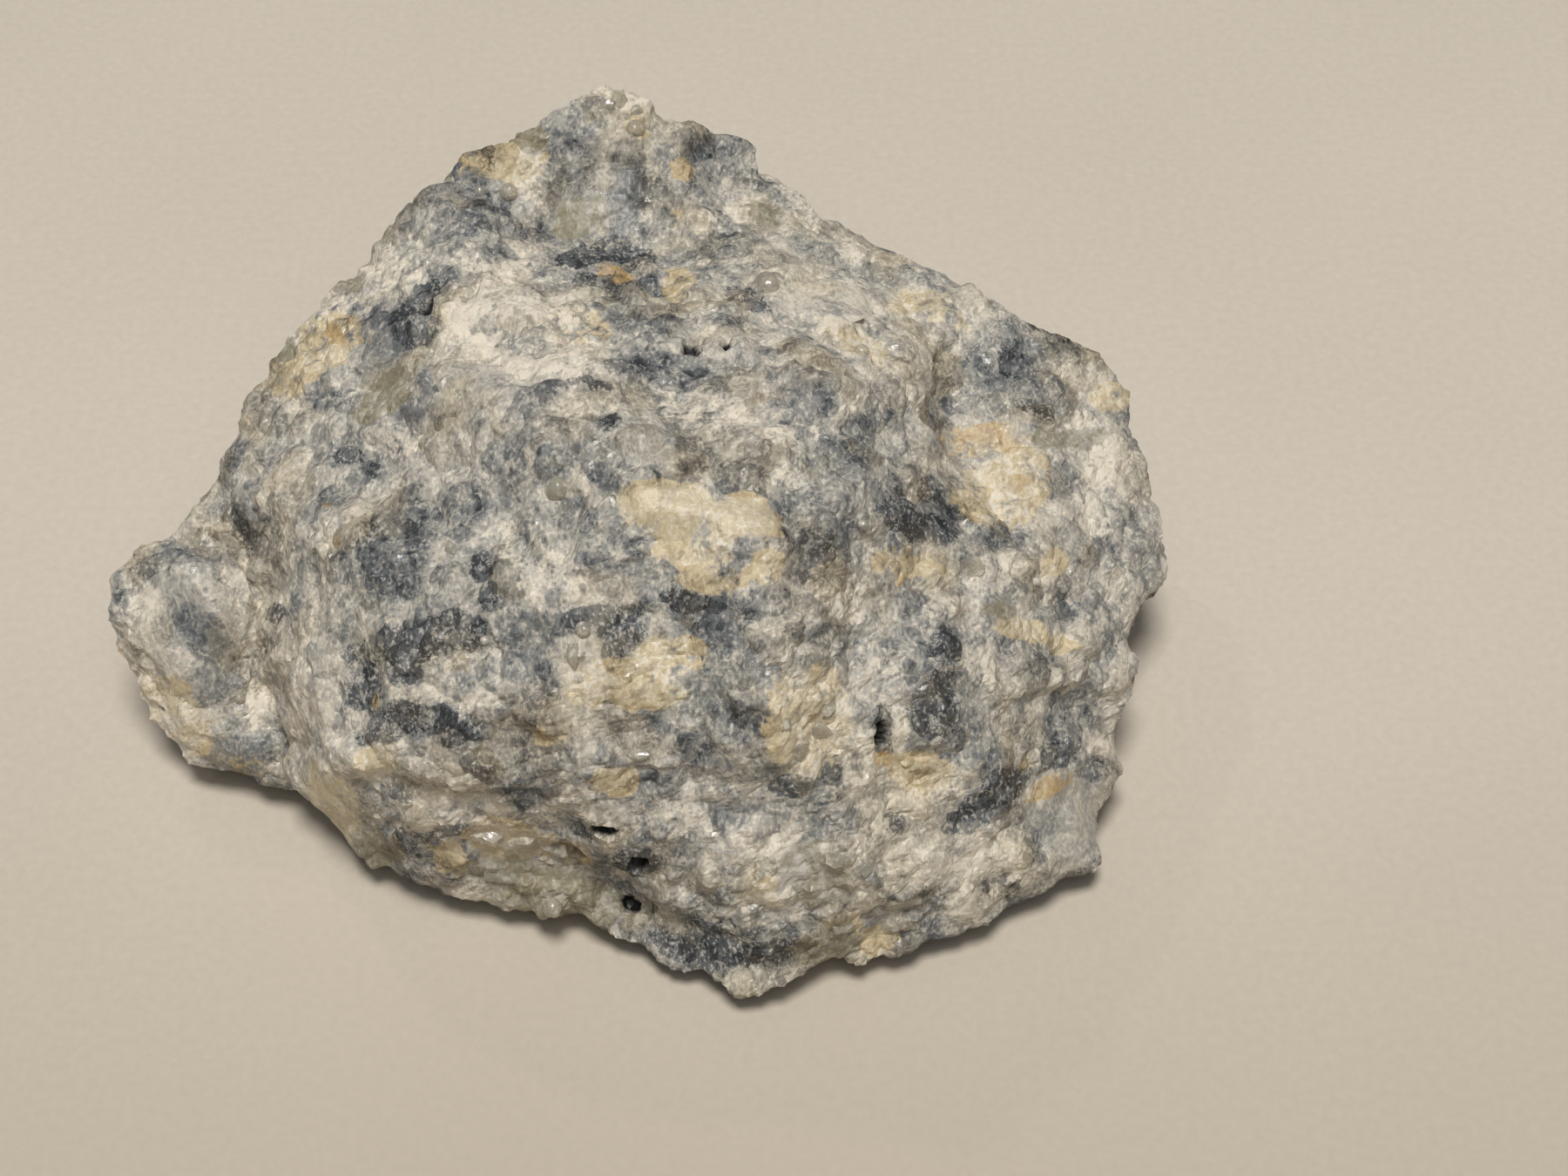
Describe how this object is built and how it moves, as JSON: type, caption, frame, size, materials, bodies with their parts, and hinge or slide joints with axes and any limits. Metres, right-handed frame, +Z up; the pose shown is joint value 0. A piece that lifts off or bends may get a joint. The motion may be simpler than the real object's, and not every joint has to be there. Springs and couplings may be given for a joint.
{
  "type": "calcite specimen",
  "caption": "Rough hand specimen of coarse-grained blue-grey and cream calcite, broken all over, resting on a small flat spot underneath.",
  "frame": {"origin": "on the surface it rests on, under the middle of its bounding box", "axes": "+Z up, +X along its longest extent towards the broad shoulder, -Y towards the front where the overhanging lower rim shows"},
  "size_m": [0.0658, 0.0562, 0.0279],
  "materials": {
    "calcite": "broken crystalline stone, dull with small bright cleavage faces"
  },
  "bodies": {
    "root": {"calcite_lump": "calcite"}
  },
  "joints": []
}
